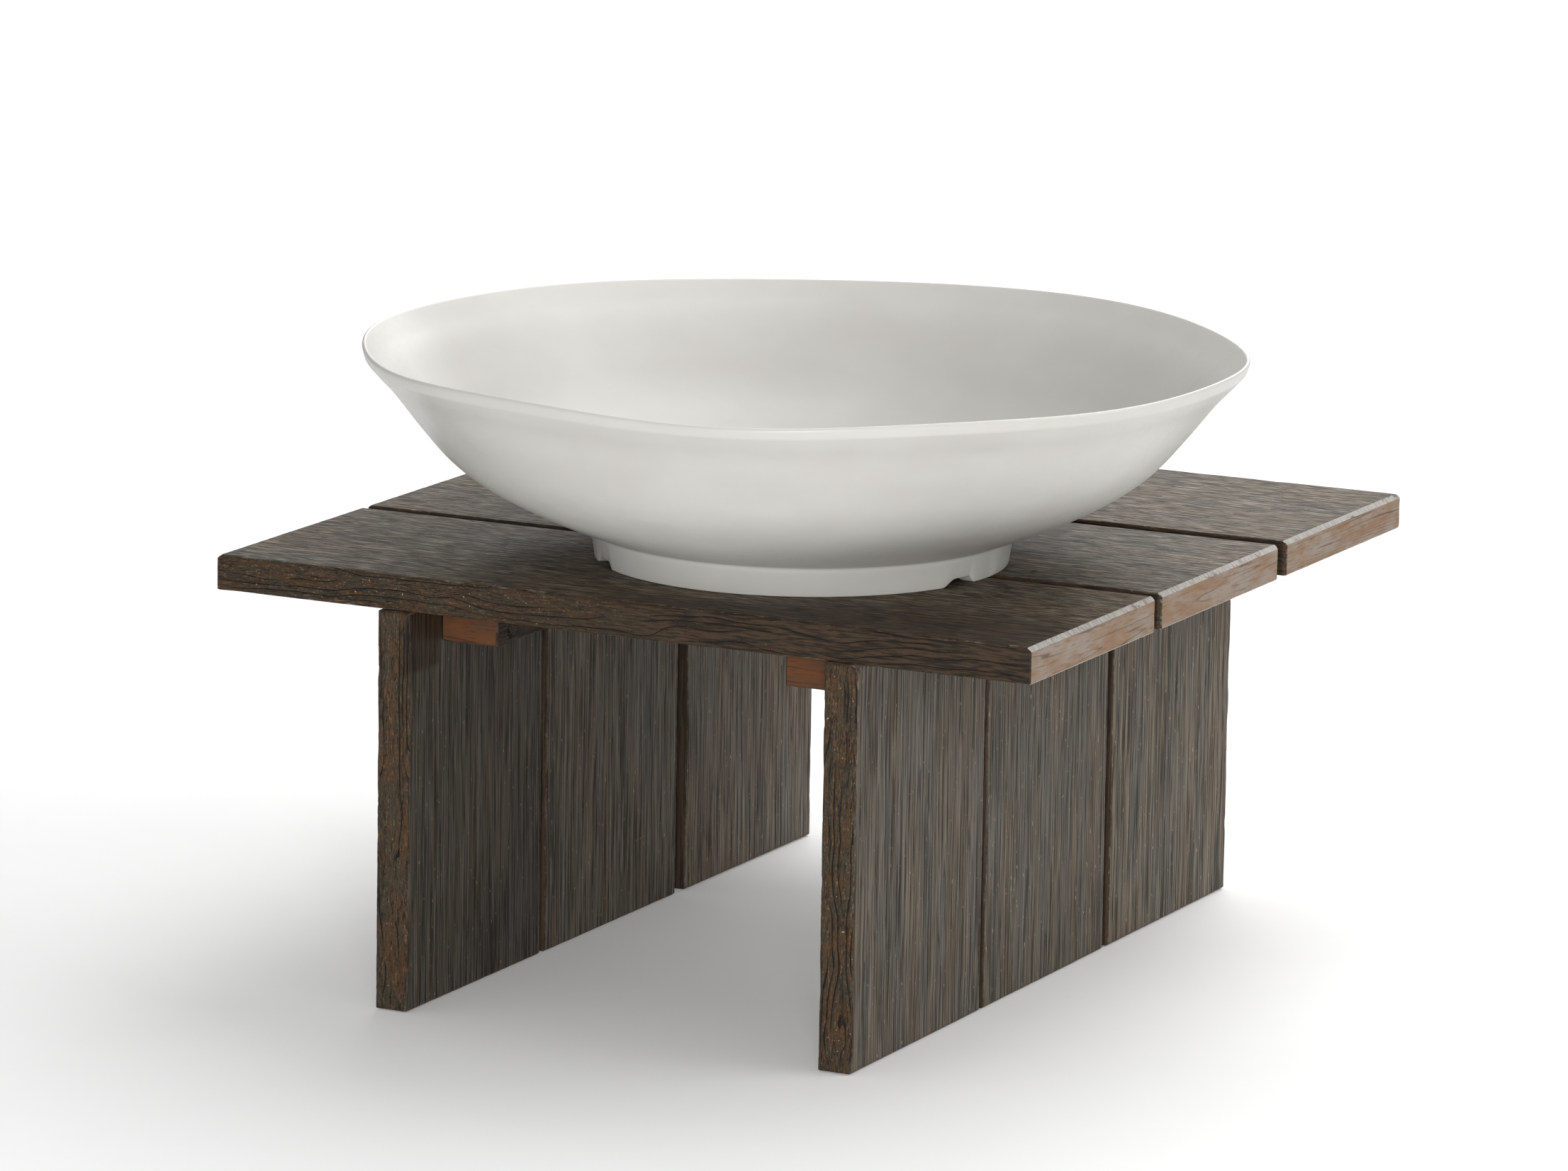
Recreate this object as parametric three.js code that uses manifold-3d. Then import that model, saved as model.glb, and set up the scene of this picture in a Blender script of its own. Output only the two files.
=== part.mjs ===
// Chip and dip server: a large bowl with a wavy rim, standing on a square riser made of planks.
// Millimetres. X runs along the front edge, Y from front to back, Z up from the table.
import * as THREE from 'three';
import { mergeVertices } from 'three/addons/utils/BufferGeometryUtils.js';
import Module from 'manifold-3d';

const wasm = await Module();
wasm.setup();

// ---- Driving dimensions ----

const CLEARANCE = 0.3; // between pieces that touch

// Riser: three boards side by side in each panel
const STAND_WIDTH = 457.2; // 18 in
const STAND_DEPTH = 469;
const STAND_HEIGHT = 226.4;
const BOARD_THICKNESS = 18.8;
const BOARD_CHAMFER = 1.6;
const LONG_EDGE_CUT = 0.6; // share of the chamfer that a board's long edges get
const LEG_DEPTH = 463; // flush with the top's front edge
const LEG_INSET = 93.5; // from the top's end to the leg panel's outer face

// Seams between a panel's boards, from the front edge: where the middle of each is, and its width
const TOP_SEAMS = [{ at: 152.1, width: 6.2 }, { at: 309.6, width: 9.3 }];
const LEFT_LEG_SEAMS = [{ at: 146, width: 3.6 }, { at: 304, width: 10 }];
const RIGHT_LEG_SEAMS = [{ at: 152, width: 2.6 }, { at: 305.4, width: 5 }];

// Battens that join the legs to the top
const BATTEN_WIDTH = 32.4;
const BATTEN_HEIGHT = 20;
const BATTEN_CHAMFER = 1;
const BATTEN_SETBACK = { left: 33, right: 24, back: 28 }; // from the riser's front and back edges

// Wood screws
const SCREW_LENGTH = 34;
const SCREW_HEAD_RADIUS = 4.3;
const SCREW_HEAD_HEIGHT = 3;
const SCREW_HEAD_RIM = 0.6; // height of the head's straight edge
const SCREW_SHANK_RADIUS = 2.1;
const SCREW_TIP_LENGTH = 6;
const SCREW_SINK = 12; // how deep the leg screws' heads lie in the batten's side
const SCREW_SIDES = 10;
const CROSS_RECESS = { length: 4.6, width: 1.1, depth: 1.6 };
const LEG_SCREW_DROP = 3; // below the middle of the batten's side
const LEG_SCREWS_AT = [1 / 3, 2 / 3]; // shares of each leg board's width
const TOP_SCREWS_AT = { front: [0.5, 0.84], middle: [0.16, 0.84], back: [0.16, 0.5] };

// Bowl, measured from the underside of its foot
const BOWL_PLACE = { x: 30, y: -85.4 }; // its axis, from the riser's centre
const BOWL_WALL = 4.2;
const BOWL_SIDES = 72;
const FOOT_RADIUS = 106;
const FOOT_FLARE = 2.3; // the foot is wider at its top by this
const FOOT_HEIGHT = 14.6;
const FOOT_RING_WIDTH = 9;
const FOOT_RECESS = 8; // height of the hollow inside the foot ring
const FOOT_EDGE = 0.8; // how far its lower edges are cut
const BOWL_FLOOR = 13;
const RIM_RADIUS = 225.8;
const RIM_HEIGHT = 108.3;
const RIM_BAND = 4.6; // height of the wall's upright outer edge, below the lip
const NOTCH_COUNT = 3;
const NOTCH_WIDTH = 25;
const NOTCH_HEIGHT = 3.8;
const NOTCH_FIRST_ANGLE = 345; // degrees

// The hand-shaped rim's rise and fall, and how it leans out and in: so many waves around, so
// large, with a crest at this angle in degrees
const RISE_WAVES = [
  { count: 1, size: 0.4, crest: -128 },
  { count: 2, size: 0.4, crest: 18 },
  { count: 3, size: 0.4, crest: -37 },
  { count: 4, size: 0.9, crest: -16 },
  { count: 6, size: 0.6, crest: 13 },
  { count: 7, size: 0.4, crest: 2 },
];
const LEAN_WAVES = [
  { count: 2, size: 0.7, crest: -8 },
  { count: 3, size: 0.3, crest: 48 },
  { count: 5, size: 0.3, crest: -35 },
  { count: 7, size: 0.5, crest: -18 },
];
const WAVE_FADE_HEIGHT = 20; // the waves fade out down to this height

// ---- Solids and meshes ----

function solidFrom(geometry) {
  const bare = geometry.clone();
  bare.deleteAttribute('normal');
  bare.deleteAttribute('uv');
  const merged = mergeVertices(bare, 1e-4);
  const corners = merged.index.array;
  const triVerts = [];
  for (let i = 0; i < corners.length; i += 3) {
    const [a, b, c] = corners.slice(i, i + 3);
    if (a !== b && b !== c && c !== a) triVerts.push(a, b, c);
  }
  return new wasm.Manifold(new wasm.Mesh({
    numProp: 3,
    vertProperties: new Float32Array(merged.attributes.position.array),
    triVerts: new Uint32Array(triVerts),
  }));
}

function geometryFrom(solid) {
  const { vertProperties, triVerts } = solid.getMesh();
  const geometry = new THREE.BufferGeometry();
  geometry.setAttribute('position', new THREE.BufferAttribute(vertProperties, 3));
  geometry.setIndex(new THREE.BufferAttribute(triVerts, 1));
  geometry.computeVertexNormals();
  return geometry;
}

function namedMesh(name, geometry, look) {
  const mesh = new THREE.Mesh(geometry, new THREE.MeshStandardMaterial(look));
  mesh.name = name;
  return mesh;
}

const LOOKS = {
  topBoard: { color: 0x5b4f45, roughness: 0.8, metalness: 0 },
  legBoard: { color: 0x61554b, roughness: 0.85, metalness: 0 },
  batten: { color: 0x7a553c, roughness: 0.85, metalness: 0 },
  screw: { color: 0xa9a59a, roughness: 0.4, metalness: 0.9 },
  bowl: { color: 0xdedcd6, roughness: 0.35, metalness: 0 },
};

// ---- Boards ----

// A board centred on the origin, length along X, width along Y, with every edge chamfered.
function boardGeometry(length, width, thickness, chamfer) {
  const y = width / 2 - chamfer;
  const z = thickness / 2 - chamfer;
  const cut = LONG_EDGE_CUT * chamfer;
  const corners = [[-1, -1], [1, -1], [1, 1], [-1, 1]].flatMap(([side, level]) => {
    const alongSide = [side * y, level * (z - cut)];
    const alongFace = [side * (y - cut), level * z];
    return side === level ? [alongSide, alongFace] : [alongFace, alongSide];
  });
  const section = new THREE.Shape(corners.map((corner) => new THREE.Vector2(...corner)));
  const geometry = new THREE.ExtrudeGeometry(section, {
    depth: length - 2 * chamfer,
    bevelThickness: chamfer,
    bevelSize: chamfer,
    bevelSegments: 1,
  });
  geometry.translate(0, 0, chamfer - length / 2);
  geometry.rotateX(Math.PI / 2);
  geometry.rotateZ(Math.PI / 2);
  return geometry;
}

// The front and back edge of each of a panel's three boards.
function boardSpans(depth, seams) {
  const [first, second] = seams;
  const front = -STAND_DEPTH / 2;
  return {
    front: [front, front + first.at - first.width / 2],
    middle: [front + first.at + first.width / 2, front + second.at - second.width / 2],
    back: [front + second.at + second.width / 2, front + depth],
  };
}

function topBoards() {
  return Object.entries(boardSpans(STAND_DEPTH, TOP_SEAMS)).map(([row, [front, back]]) => {
    const geometry = boardGeometry(STAND_WIDTH, back - front, BOARD_THICKNESS, BOARD_CHAMFER);
    const board = namedMesh(`top_plank_${row}`, geometry, LOOKS.topBoard);
    board.position.set(0, (front + back) / 2, STAND_HEIGHT - BOARD_THICKNESS / 2);
    return board;
  });
}

const LEG_LENGTH = STAND_HEIGHT - BOARD_THICKNESS - CLEARANCE;
const LEG_OUTER_X = STAND_WIDTH / 2 - LEG_INSET;
const LEG_INNER_X = LEG_OUTER_X - BOARD_THICKNESS;

function legBoards(side, sign, seams) {
  return Object.entries(boardSpans(LEG_DEPTH, seams)).map(([row, [front, back]]) => {
    const geometry = boardGeometry(LEG_LENGTH, back - front, BOARD_THICKNESS, BOARD_CHAMFER);
    const board = namedMesh(`${side}_leg_plank_${row}`, geometry, LOOKS.legBoard);
    board.rotation.y = Math.PI / 2;
    board.position.set(sign * (LEG_OUTER_X + LEG_INNER_X) / 2, (front + back) / 2, LEG_LENGTH / 2);
    return board;
  });
}

// ---- Battens ----

const BATTEN_INNER_X = LEG_INNER_X - CLEARANCE - BATTEN_WIDTH;
const BATTEN_TOP_Z = STAND_HEIGHT - BOARD_THICKNESS - CLEARANCE;
const BATTEN_BOTTOM_Z = BATTEN_TOP_Z - BATTEN_HEIGHT;

function batten(side, sign) {
  const front = BATTEN_SETBACK[side] - STAND_DEPTH / 2;
  const back = STAND_DEPTH / 2 - BATTEN_SETBACK.back;
  const geometry = boardGeometry(back - front, BATTEN_WIDTH, BATTEN_HEIGHT, BATTEN_CHAMFER);
  const piece = namedMesh(`${side}_batten`, geometry, LOOKS.batten);
  piece.rotation.z = Math.PI / 2;
  piece.position.set(
    sign * (BATTEN_INNER_X + BATTEN_WIDTH / 2),
    (front + back) / 2,
    (BATTEN_TOP_Z + BATTEN_BOTTOM_Z) / 2,
  );
  return piece;
}

// ---- Screws ----

// A countersunk screw standing on its head at the origin, tip up. The cutter for its hole is the
// same shape grown by the clearance, with a mouth below the head.
function screwGeometry(grow = 0, mouth = 0) {
  const outline = [
    [0, -mouth],
    [SCREW_HEAD_RADIUS + grow, -mouth],
    [SCREW_HEAD_RADIUS + grow, SCREW_HEAD_RIM + grow],
    [SCREW_SHANK_RADIUS + grow, SCREW_HEAD_HEIGHT + grow],
    [SCREW_SHANK_RADIUS + grow, SCREW_LENGTH - SCREW_TIP_LENGTH + grow],
    [0, SCREW_LENGTH + grow],
  ];
  const points = outline.map(([radius, height]) => new THREE.Vector2(radius, height));
  const geometry = new THREE.LatheGeometry(points, SCREW_SIDES);
  geometry.rotateX(Math.PI / 2);
  return geometry;
}

// The head's driving recess is a cross.
function crossRecess() {
  const { length, width, depth } = CROSS_RECESS;
  const slot = solidFrom(new THREE.BoxGeometry(length, width, 2 * depth));
  const crossSlot = solidFrom(new THREE.BoxGeometry(width, length, 2 * depth));
  return slot.add(crossSlot);
}

function screw(name, sink) {
  const geometry = geometryFrom(solidFrom(screwGeometry()).subtract(crossRecess()));
  const piece = namedMesh(name, geometry, LOOKS.screw);
  piece.userData.mouth = sink + 1;
  return piece;
}

// Leg screws lie flat, from the batten's inner side through it into the leg boards.
function legScrews(side, sign, seams) {
  const places = Object.values(boardSpans(LEG_DEPTH, seams)).flatMap(
    ([front, back]) => LEG_SCREWS_AT.map((share) => front + share * (back - front)),
  );
  return places.map((y, i) => {
    const piece = screw(`${side}_leg_screw_${i + 1}`, SCREW_SINK);
    piece.rotation.y = sign * Math.PI / 2;
    const height = (BATTEN_TOP_Z + BATTEN_BOTTOM_Z) / 2 - LEG_SCREW_DROP;
    piece.position.set(sign * (BATTEN_INNER_X + SCREW_SINK), y, height);
    return piece;
  });
}

// Top screws stand upright, from the batten's underside into the top boards.
function topScrews(side, sign) {
  const places = Object.entries(boardSpans(STAND_DEPTH, TOP_SEAMS)).flatMap(
    ([row, [front, back]]) => TOP_SCREWS_AT[row].map((share) => front + share * (back - front)),
  );
  return places.map((y, i) => {
    const piece = screw(`${side}_top_screw_${i + 1}`, 0);
    piece.position.set(sign * (BATTEN_INNER_X + BATTEN_WIDTH / 2), y, BATTEN_BOTTOM_Z);
    return piece;
  });
}

function drill(piece, screws) {
  piece.updateMatrix();
  let body = solidFrom(piece.geometry);
  for (const item of screws) {
    item.updateMatrix();
    const toPiece = piece.matrix.clone().invert().multiply(item.matrix);
    const hole = screwGeometry(CLEARANCE, item.userData.mouth).applyMatrix4(toPiece);
    body = body.subtract(solidFrom(hole));
  }
  piece.geometry = geometryFrom(body);
}

// ---- Riser ----

function riser() {
  const boards = [
    ...topBoards(),
    ...legBoards('left', -1, LEFT_LEG_SEAMS),
    ...legBoards('right', 1, RIGHT_LEG_SEAMS),
    batten('left', -1),
    batten('right', 1),
  ];
  const screws = [
    ...legScrews('left', -1, LEFT_LEG_SEAMS),
    ...legScrews('right', 1, RIGHT_LEG_SEAMS),
    ...topScrews('left', -1),
    ...topScrews('right', 1),
  ];
  for (const board of boards) drill(board, screws);
  const group = new THREE.Group();
  group.add(...boards, ...screws);
  return group;
}

// ---- Bowl ----

// Outside of the wall, from the foot ring's top to the rim's upright band: a shallow belly that
// steepens and then flares a little.
const WALL_CURVE = new THREE.SplineCurve([
  [108.7, 15.2], [124, 20.8], [146, 30.4], [167, 42], [183, 54.5], [197.5, 71],
  [211, 88], [219.5, 96.6], [RIM_RADIUS - 0.5, RIM_HEIGHT - 1.2 - RIM_BAND],
].map(([radius, height]) => new THREE.Vector2(radius, height)));

// Inside of the wall, offset from the outside, from the rim down.
function innerWall(steps) {
  return WALL_CURVE.getPoints(steps).map((point, i) => {
    const along = WALL_CURVE.getTangent(i / steps);
    return new THREE.Vector2(point.x - along.y * BOWL_WALL, point.y + along.x * BOWL_WALL);
  }).reverse();
}

// The wall ends in an upright band with a rounded lip on top.
function rimOutline() {
  return [
    [RIM_RADIUS, RIM_HEIGHT - 0.4 - RIM_BAND], [RIM_RADIUS, RIM_HEIGHT - 1.3],
    [RIM_RADIUS - 0.4, RIM_HEIGHT - 0.4], [RIM_RADIUS - 1.3, RIM_HEIGHT],
    [RIM_RADIUS - 2.2, RIM_HEIGHT - 0.7],
  ];
}

function footOutline() {
  const ringInner = FOOT_RADIUS - FOOT_RING_WIDTH;
  return [
    [0, FOOT_RECESS], [ringInner - 4, FOOT_RECESS], [ringInner - 1, FOOT_RECESS - 2],
    [ringInner, FOOT_EDGE], [ringInner + 1, 0], [FOOT_RADIUS - FOOT_EDGE, 0],
    [FOOT_RADIUS, FOOT_EDGE], [FOOT_RADIUS + FOOT_FLARE, FOOT_HEIGHT - 1],
    [FOOT_RADIUS + FOOT_FLARE - 0.2, FOOT_HEIGHT],
  ];
}

function bowlOutline() {
  const floor = [[93, 15.2], [72, 13.3], [0, BOWL_FLOOR]];
  return [
    ...footOutline().map(([radius, height]) => new THREE.Vector2(radius, height)),
    ...WALL_CURVE.getPoints(12),
    ...rimOutline().map(([radius, height]) => new THREE.Vector2(radius, height)),
    ...innerWall(12),
    ...floor.map(([radius, height]) => new THREE.Vector2(radius, height)),
  ];
}

function waveSum(waves, angle) {
  const wave = ({ count, size, crest }) =>
    size * Math.cos(count * (angle - THREE.MathUtils.degToRad(crest)));
  return waves.reduce((sum, item) => sum + wave(item), 0);
}

function bendRim(geometry) {
  const { position } = geometry.attributes;
  for (let i = 0; i < position.count; i += 1) {
    const [x, y, z] = [position.getX(i), position.getY(i), position.getZ(i)];
    const angle = Math.atan2(y, x);
    const share = Math.max(0, (z - WAVE_FADE_HEIGHT) / (RIM_HEIGHT - WAVE_FADE_HEIGHT)) ** 3;
    const radius = Math.hypot(x, y) + share * waveSum(LEAN_WAVES, angle);
    const height = z + share * waveSum(RISE_WAVES, angle);
    position.setXYZ(i, radius * Math.cos(angle), radius * Math.sin(angle), height);
  }
}

// An arched cutter that crosses the foot ring along a radius.
function notchSolid(angle) {
  const arch = new THREE.Shape();
  arch.moveTo(-NOTCH_WIDTH / 2, -1);
  arch.lineTo(NOTCH_WIDTH / 2, -1);
  arch.lineTo(NOTCH_WIDTH / 2, 0);
  arch.absellipse(0, 0, NOTCH_WIDTH / 2, NOTCH_HEIGHT, 0, Math.PI);
  arch.closePath();
  const reach = 2.5 * FOOT_RING_WIDTH;
  const geometry = new THREE.ExtrudeGeometry(arch, { depth: reach, bevelEnabled: false, curveSegments: 8 });
  geometry.rotateX(Math.PI / 2);
  geometry.rotateZ(Math.PI / 2);
  geometry.translate(FOOT_RADIUS - FOOT_RING_WIDTH / 2 - reach / 2, 0, 0);
  geometry.rotateZ(angle);
  return solidFrom(geometry);
}

function bowl() {
  const turned = new THREE.LatheGeometry(bowlOutline(), BOWL_SIDES);
  turned.rotateX(Math.PI / 2);
  bendRim(turned);
  let body = solidFrom(turned);
  for (let i = 0; i < NOTCH_COUNT; i += 1) {
    const angle = THREE.MathUtils.degToRad(NOTCH_FIRST_ANGLE + (i * 360) / NOTCH_COUNT);
    body = body.subtract(notchSolid(angle));
  }
  const piece = namedMesh('bowl', geometryFrom(body), LOOKS.bowl);
  piece.position.set(BOWL_PLACE.x, BOWL_PLACE.y, STAND_HEIGHT + CLEARANCE);
  return piece;
}

// ---- Whole server, with its origin on the table under the middle of its bounding box ----

function server() {
  const group = new THREE.Group();
  group.add(riser(), bowl());
  const middle = new THREE.Box3().setFromObject(group).getCenter(new THREE.Vector3());
  group.position.set(-middle.x, -middle.y, 0);
  return group;
}

export default server();
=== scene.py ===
"""Chip and dip server: a wavy-rimmed bowl on a riser of weathered planks, in detail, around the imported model.

Lengths in the making of a piece are in millimetres, and become metres as its mesh is made.
"""

import itertools
import math

import bpy
import numpy as np
from mathutils import Matrix, Vector


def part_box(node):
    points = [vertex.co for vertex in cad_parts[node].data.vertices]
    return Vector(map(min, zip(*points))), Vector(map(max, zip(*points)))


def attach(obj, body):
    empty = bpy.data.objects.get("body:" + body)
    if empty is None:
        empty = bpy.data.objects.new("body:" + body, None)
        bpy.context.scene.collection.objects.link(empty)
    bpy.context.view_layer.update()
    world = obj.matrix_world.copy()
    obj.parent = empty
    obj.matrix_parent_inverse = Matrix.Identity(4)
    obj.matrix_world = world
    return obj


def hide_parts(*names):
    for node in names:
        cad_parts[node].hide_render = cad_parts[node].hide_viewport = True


MM = 0.001
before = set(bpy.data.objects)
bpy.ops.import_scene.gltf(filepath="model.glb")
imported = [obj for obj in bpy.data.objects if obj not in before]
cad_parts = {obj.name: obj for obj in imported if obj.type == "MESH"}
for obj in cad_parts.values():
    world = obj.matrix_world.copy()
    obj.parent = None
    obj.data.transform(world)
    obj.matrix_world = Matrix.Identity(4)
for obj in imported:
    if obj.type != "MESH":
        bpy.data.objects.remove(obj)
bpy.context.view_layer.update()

ROWS = ("front", "middle", "back")
TOP_PLANKS = [f"top_plank_{row}" for row in ROWS]


def box_mm(*names):
    """Lowest and highest corner of some CAD nodes together, in mm."""
    boxes = [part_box(name) for name in names]
    low = np.min([box[0] for box in boxes], axis=0)
    high = np.max([box[1] for box in boxes], axis=0)
    return low / MM, high / MM


TOP_LOW, TOP_HIGH = box_mm(*TOP_PLANKS)
RISER_CENTRE = (TOP_LOW + TOP_HIGH) / 2 * (1, 1, 0)


# ---- Seeded noise ----

SEED_STEP, SEED_START = 7919, 17
HASH_FACTOR = np.uint64(0x9E3779B97F4A7C15)  # the odd number that a 64-bit golden-ratio hash multiplies by
HASH_SHIFT, SPARE_BITS = np.uint64(29), np.uint64(11)


def lattice(seed, *cells):
    """A fixed pseudo-random number from -1 to 1 for each whole-numbered cell."""
    mixed = np.full(cells[0].shape, seed * SEED_STEP + SEED_START, dtype=np.uint64)
    for cell in cells:
        mixed = (mixed ^ cell.astype(np.int64).astype(np.uint64)) * HASH_FACTOR
        mixed ^= mixed >> HASH_SHIFT
    return (mixed >> SPARE_BITS).astype(float) / 2**52 - 1


def noise(seed, *places):
    """Smooth noise from -1 to 1, with cells one unit across."""
    places = np.broadcast_arrays(*places)
    floors = [np.floor(place) for place in places]
    shares = [(3 - 2 * t) * t * t for t in (place - floor for place, floor in zip(places, floors))]
    total = 0
    for corner in itertools.product((0, 1), repeat=len(places)):
        weight = 1
        for far, share in zip(corner, shares):
            weight = weight * (share if far else 1 - share)
        total = total + weight * lattice(seed, *[f + far for f, far in zip(floors, corner)])
    return total


def ease(value, start, end):
    """0 at start and 1 at end, smooth between."""
    t = np.clip((value - start) / (end - start), 0, 1)
    return t * t * (3 - 2 * t)


# ---- Meshes ----


def mesh_piece(name, points, faces, materials, attributes=None, material_index=None, smooth=True):
    """An object from points in mm and a list of arrays of quads or triangles."""
    mesh = bpy.data.meshes.new(name)
    faces = [np.asarray(part, dtype=np.int32) for part in faces]
    sizes = np.concatenate([np.full(len(part), part.shape[1]) for part in faces])
    mesh.vertices.add(len(points))
    mesh.vertices.foreach_set("co", (np.asarray(points) * MM).astype(np.float32).ravel())
    mesh.loops.add(int(sizes.sum()))
    mesh.loops.foreach_set("vertex_index", np.concatenate([part.ravel() for part in faces]))
    mesh.polygons.add(len(sizes))
    mesh.polygons.foreach_set("loop_start", np.concatenate([[0], np.cumsum(sizes)[:-1]]).astype(np.int32))
    if material_index is not None:
        mesh.polygons.foreach_set("material_index", material_index.astype(np.int32))
    mesh.polygons.foreach_set("use_smooth", np.full(len(sizes), smooth))
    for key, values in (attributes or {}).items():
        layer = mesh.attributes.new(key, "FLOAT", "POINT")
        layer.data.foreach_set("value", np.asarray(values, dtype=np.float32))
    for material in materials:
        mesh.materials.append(material)
    mesh.update(calc_edges=True)
    mesh.validate()
    piece = bpy.data.objects.new(name, mesh)
    bpy.context.scene.collection.objects.link(piece)
    return piece


def box_grid(divisions):
    """Points and quads of a closed box with those divisions, and the axis that each quad faces."""
    counts = [len(division) for division in divisions]
    cells = np.indices(counts)
    shell = np.zeros(counts, bool)
    for axis, count in enumerate(counts):
        shell |= (cells[axis] == 0) | (cells[axis] == count - 1)
    index = np.full(counts, -1)
    index[shell] = np.arange(shell.sum())
    points = np.stack([d[cells[axis][shell]] for axis, d in enumerate(divisions)], axis=1)
    quads, facing = [], []
    for axis, end in itertools.product(range(3), (0, 1)):
        sheet = np.take(index, end * (counts[axis] - 1), axis=axis)
        corners = [sheet[:-1, :-1], sheet[1:, :-1], sheet[1:, 1:], sheet[:-1, 1:]]
        part = np.stack(corners, axis=-1).reshape(-1, 4)
        quads.append(part if (end == 1) != (axis == 1) else part[:, ::-1])
        facing.append(np.full(len(part), axis))
    return points, np.concatenate(quads), np.concatenate(facing)


def ring(radius, angles, height):
    """Points round the Z axis. Radius and height are single values or one for each angle."""
    heights = np.broadcast_to(height, angles.shape)
    return np.stack([radius * np.cos(angles), radius * np.sin(angles), heights], axis=1)


def stack_rings(rings, first_pole, last_pole):
    """Points, quads and end triangles of a closed form through rings of points that turn to the left,
    seen from the last pole. Its first pole's side faces away from the last pole."""
    count = len(rings[0])
    points = np.concatenate([*rings, [first_pole], [last_pole]])
    index = np.arange(len(rings) * count).reshape(len(rings), count)
    turned = np.roll(index, -1, axis=1)
    quads = np.stack([index[:-1], turned[:-1], turned[1:], index[1:]], axis=-1).reshape(-1, 4)
    first, last = len(points) - 2, len(points) - 1
    start = np.stack([np.full(count, first), turned[0], index[0]], axis=-1)
    end = np.stack([np.full(count, last), index[-1], turned[-1]], axis=-1)
    return points, quads, np.concatenate([start, end])


def join_forms(forms):
    """The points of several (points, quads, triangles), and their quads and triangles together."""
    starts = np.cumsum([0, *[len(points) for points, _, _ in forms[:-1]]])
    quads = np.concatenate([form[1] + start for form, start in zip(forms, starts)])
    triangles = np.concatenate([form[2] + start for form, start in zip(forms, starts)])
    return np.concatenate([form[0] for form in forms]), [quads, triangles]


# ---- Shader graphs ----


def srgb(red, green, blue):
    """A linear colour from the 0 to 255 values of a picture."""
    def linear(value):
        value /= 255
        return value / 12.92 if value <= 0.04045 else ((value + 0.055) / 1.055) ** 2.4
    return (linear(red), linear(green), linear(blue), 1)


class Graph:
    """A material, with short ways to add and join its nodes. Noise has cells in mm, and its values run
    from 0 to 1."""

    def __init__(self, name):
        self.material = bpy.data.materials.new(name)
        self.material.use_nodes = True
        self.tree = self.material.node_tree
        self.tree.nodes.clear()

    def add(self, kind, inputs, **settings):
        made = self.tree.nodes.new("ShaderNode" + kind)
        for key, value in settings.items():
            setattr(made, key, value)
        for key, value in inputs.items():
            if isinstance(value, bpy.types.NodeSocket):
                self.tree.links.new(value, made.inputs[key])
            else:
                made.inputs[key].default_value = value
        return made

    def math(self, operation, *values):
        return self.add("Math", dict(enumerate(values)), operation=operation).outputs[0]

    def times(self, first, second):
        return self.math("MULTIPLY", first, second)

    def invert(self, value):
        return self.math("SUBTRACT", 1.0, value)

    def step(self, value, start, end):
        """0 where value is at start and 1 at end, smooth between."""
        limits = {"Value": value, "From Min": start, "From Max": end}
        return self.add("MapRange", limits, interpolation_type="SMOOTHSTEP").outputs[0]

    def spread(self, value, low, high):
        """value, from 0 to 1, spread over low to high."""
        return self.add("MapRange", {"Value": value, "To Min": low, "To Max": high}).outputs[0]

    def mix(self, share, first, second):
        return self.add("Mix", {0: share, 6: first, 7: second}, data_type="RGBA").outputs[2]

    def attribute(self, name):
        return self.add("Attribute", {}, attribute_name=name).outputs["Fac"]

    def place(self, sizes_mm=(1, 1, 1), shift=0.0, source=None):
        """Places on the piece, measured in cells of those sizes."""
        source = source or self.add("TexCoord", {}).outputs["Object"]
        scale = [1 / (size * MM) for size in sizes_mm]
        mapping = {"Vector": source, "Location": (shift, shift * 1.7, shift * 0.6), "Scale": scale}
        return self.add("Mapping", mapping).outputs[0]

    def noise(self, vector, detail, roughness):
        values = {"Vector": vector, "Scale": 1.0, "Detail": detail, "Roughness": roughness}
        return self.add("TexNoise", values).outputs["Fac"]

    def bump(self, height, depth_mm, below=None):
        values = {"Height": height, "Distance": depth_mm * MM, "Strength": 1.0}
        if below is not None:
            values["Normal"] = below
        return self.add("Bump", values).outputs[0]

    def finish(self, colour, roughness, normal=None, **constants):
        values = {"Base Color": colour, "Roughness": roughness}
        values |= {key.replace("_", " "): value for key, value in constants.items()}
        if normal is not None:
            values["Normal"] = normal
        shader = self.add("BsdfPrincipled", values)
        self.add("OutputMaterial", {"Surface": shader.outputs[0]})
        return self.material


def along(axis, length, across):
    """Cell sizes in mm for grain along an axis."""
    return [length if i == axis else across for i in range(3)]


def wavy(graph, axis, reach_mm, shift):
    """Object places with the grain's slow and quick sideways waves in them."""
    source = graph.add("TexCoord", {}).outputs["Object"]
    moved = source
    for length, across, reach in ((40, 30, reach_mm), (9, 5, 0.22 * reach_mm)):
        cells = graph.place(along(axis, length, across), shift, source)
        wave = graph.add("TexNoise", {"Vector": cells, "Scale": 1.0, "Detail": 1.0}).outputs["Color"]
        centred = graph.add("VectorMath", {0: wave, 1: (0.5, 0.5, 0.5)}, operation="SUBTRACT").outputs[0]
        sideways = [0 if i == axis else 2 * reach * MM for i in range(3)]
        wave = graph.add("VectorMath", {0: centred, 1: sideways}, operation="MULTIPLY").outputs[0]
        moved = graph.add("VectorMath", {0: moved, 1: wave}, operation="ADD").outputs[0]
    return moved


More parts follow.
